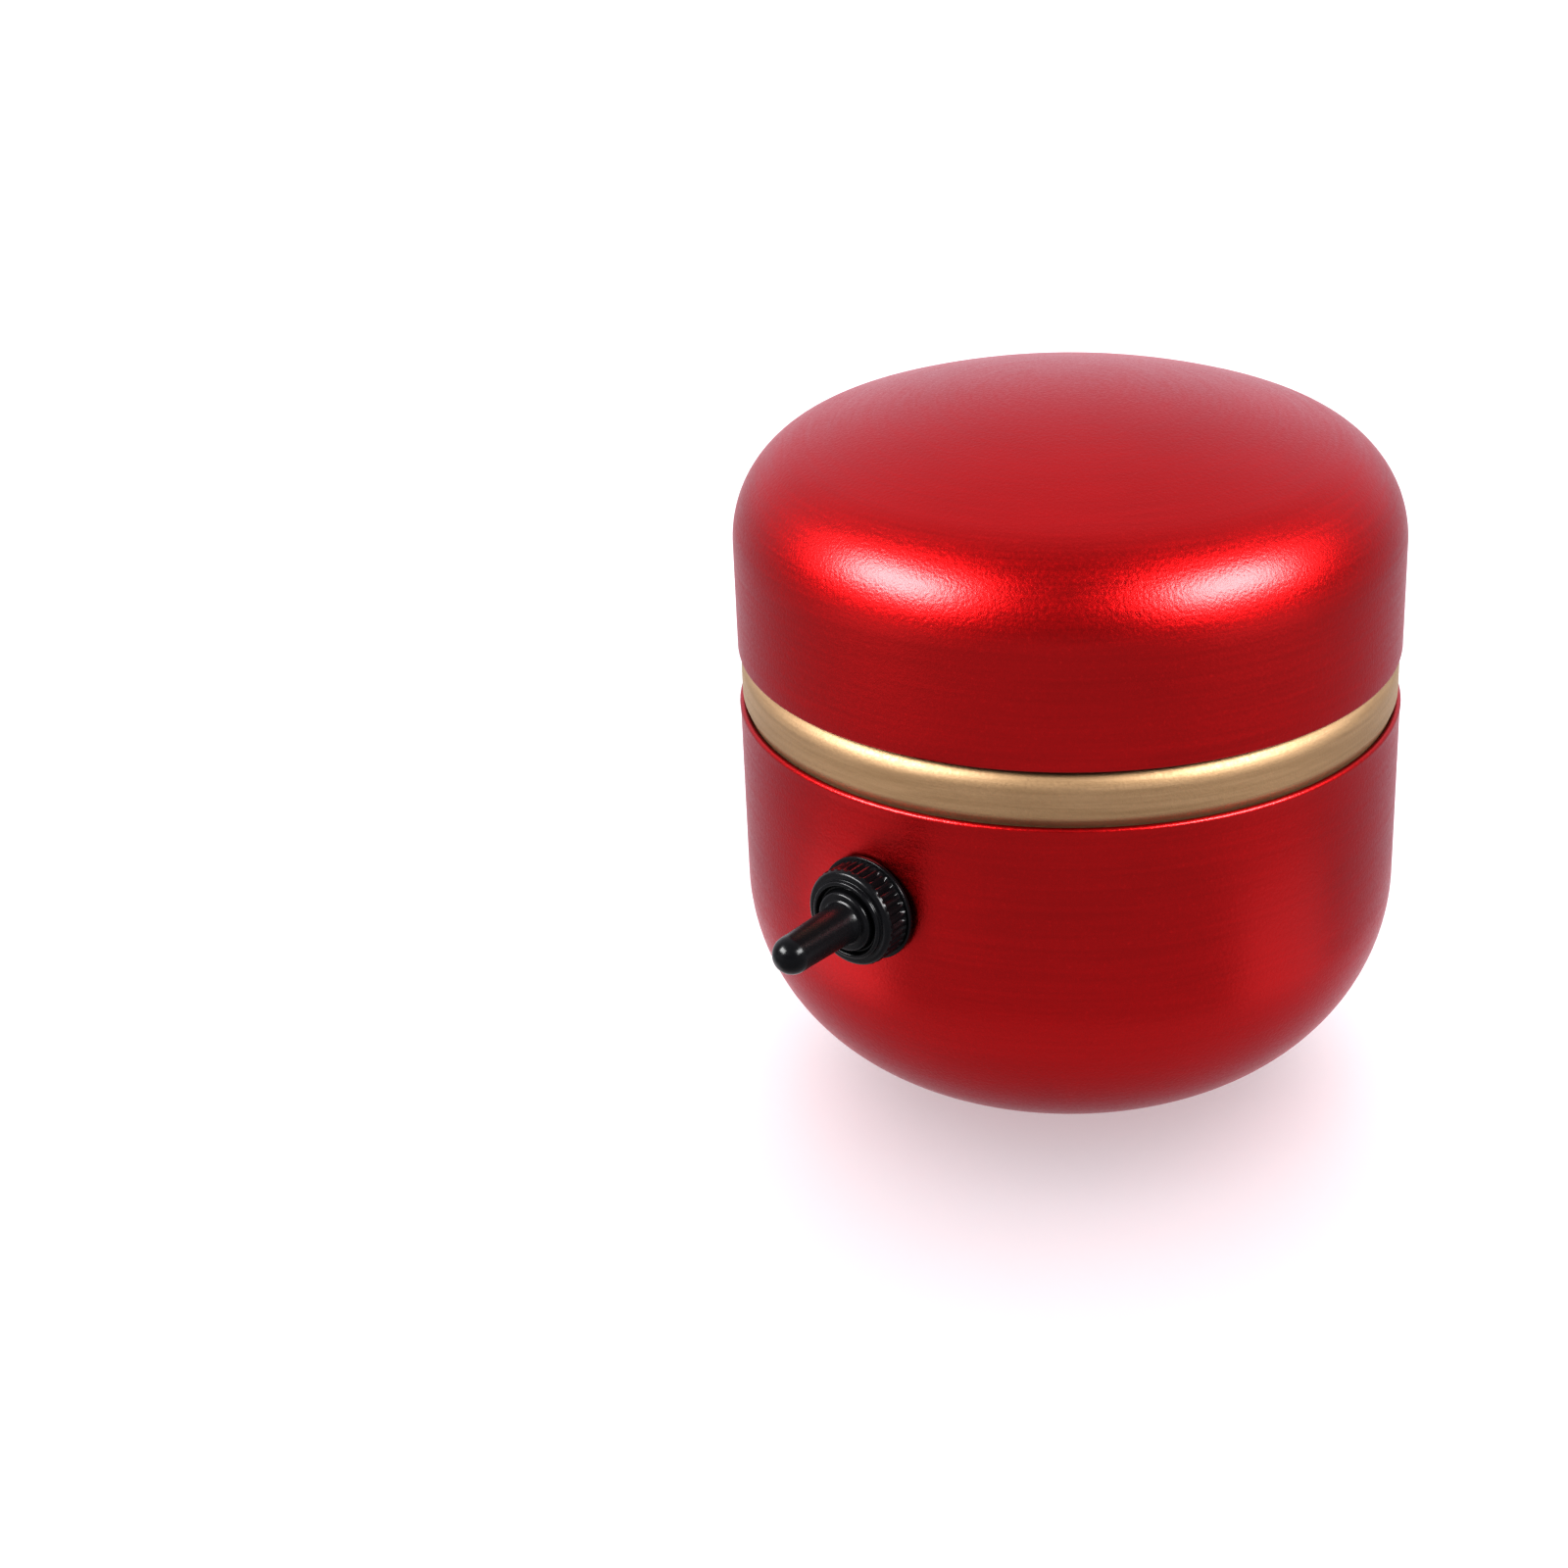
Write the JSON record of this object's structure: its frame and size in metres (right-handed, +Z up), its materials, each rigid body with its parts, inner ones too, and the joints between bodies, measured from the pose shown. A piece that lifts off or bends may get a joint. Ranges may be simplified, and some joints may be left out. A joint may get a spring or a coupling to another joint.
{
  "type": "pottery wheel",
  "caption": "Mini electric pottery wheel in a round metal tin: lift-off domed lid, direct-drive wheel head in a splash pan, booted toggle switch and DC socket.",
  "frame": {"origin": "centre of the foot's underside, where the object rests", "axes": "+Z up along the wheel's axis, the toggle switch faces -Y, the DC socket +Y"},
  "size_m": [0.0902, 0.1099, 0.0968],
  "materials": {
    "red_anodised": "satin metallic, fine grain",
    "gold_anodised": "satin",
    "black_rubber": "satin",
    "foot_rubber": "matte",
    "gasket_rubber": "matte",
    "pan_plastic": "moulded",
    "aluminium": "turned, satin",
    "hub_aluminium": "turned",
    "screw_steel": "plated",
    "motor_steel": "zinc plated",
    "switch_steel": "nickel plated",
    "core_steel": "laminated",
    "ferrite": "sintered",
    "brass": "plain",
    "copper": "enamelled",
    "dark_plastic": "moulded",
    "switch_plastic": "moulded",
    "red_wire": "insulation",
    "black_wire": "insulation"
  },
  "bodies": {
    "root": {"body_shell": "red_anodised", "gold_collar": "gold_anodised", "foot_pad": "foot_rubber", "splash_pan": "pan_plastic", "pan_screw_1": "screw_steel", "pan_screw_2": "screw_steel", "pan_screw_3": "screw_steel", "motor_can": "motor_steel", "motor_end_cap": "dark_plastic", "motor_screw_1": "screw_steel", "motor_screw_2": "screw_steel", "front_bush": "brass", "rear_bush": "brass", "magnet_1": "ferrite", "magnet_2": "ferrite", "motor_brush_1": "copper", "motor_brush_2": "copper", "motor_terminal_1": "brass", "motor_terminal_2": "brass", "switch_case": "switch_plastic", "switch_bushing": "switch_steel", "switch_nut": "switch_steel", "lock_washer": "switch_steel", "boot_insert": "brass", "boot_base": "black_rubber", "jack_housing": "dark_plastic", "jack_nut": "switch_steel", "jack_pin": "switch_steel", "jack_terminal_1": "brass", "jack_terminal_2": "brass", "wire_supply_plus": "red_wire", "wire_supply_minus": "black_wire", "wire_motor_plus": "red_wire", "wire_motor_minus": "black_wire", "switch_pin_1": "brass", "switch_pin_2": "brass", "switch_pin_3": "brass", "switch_pin_4": "brass", "switch_pin_5": "brass", "switch_pin_6": "brass"},
    "wheel": {"motor_shaft": "motor_steel", "commutator": "copper", "rotor_core": "core_steel", "rotor_coil_1": "copper", "rotor_coil_2": "copper", "rotor_coil_3": "copper", "wheel_head": "aluminium", "wheel_hub": "hub_aluminium", "hub_set_screw": "screw_steel", "wheel_screw_1": "screw_steel", "wheel_screw_2": "screw_steel", "wheel_screw_3": "screw_steel"},
    "lid": {"lid_shell": "red_anodised", "lid_gasket": "gasket_rubber"},
    "lever": {"switch_lever": "switch_steel", "boot_sleeve": "black_rubber"}
  },
  "joints": [
    {"name": "wheel_spin", "type": "hinge", "parent": "root", "child": "wheel", "pos_m": [0, 0, 0.05], "axis": [0, 0, 1], "continuous": true},
    {"name": "lid_lift", "type": "slide", "parent": "root", "child": "lid", "axis": [0, 0, 1], "range_m": [0, 0.05]},
    {"name": "switch_throw", "type": "hinge", "parent": "root", "child": "lever", "pos_m": [0, -0.0465, 0.0398], "axis": [1, 0, 0], "range_deg": [-12.5, 12.5]}
  ]
}
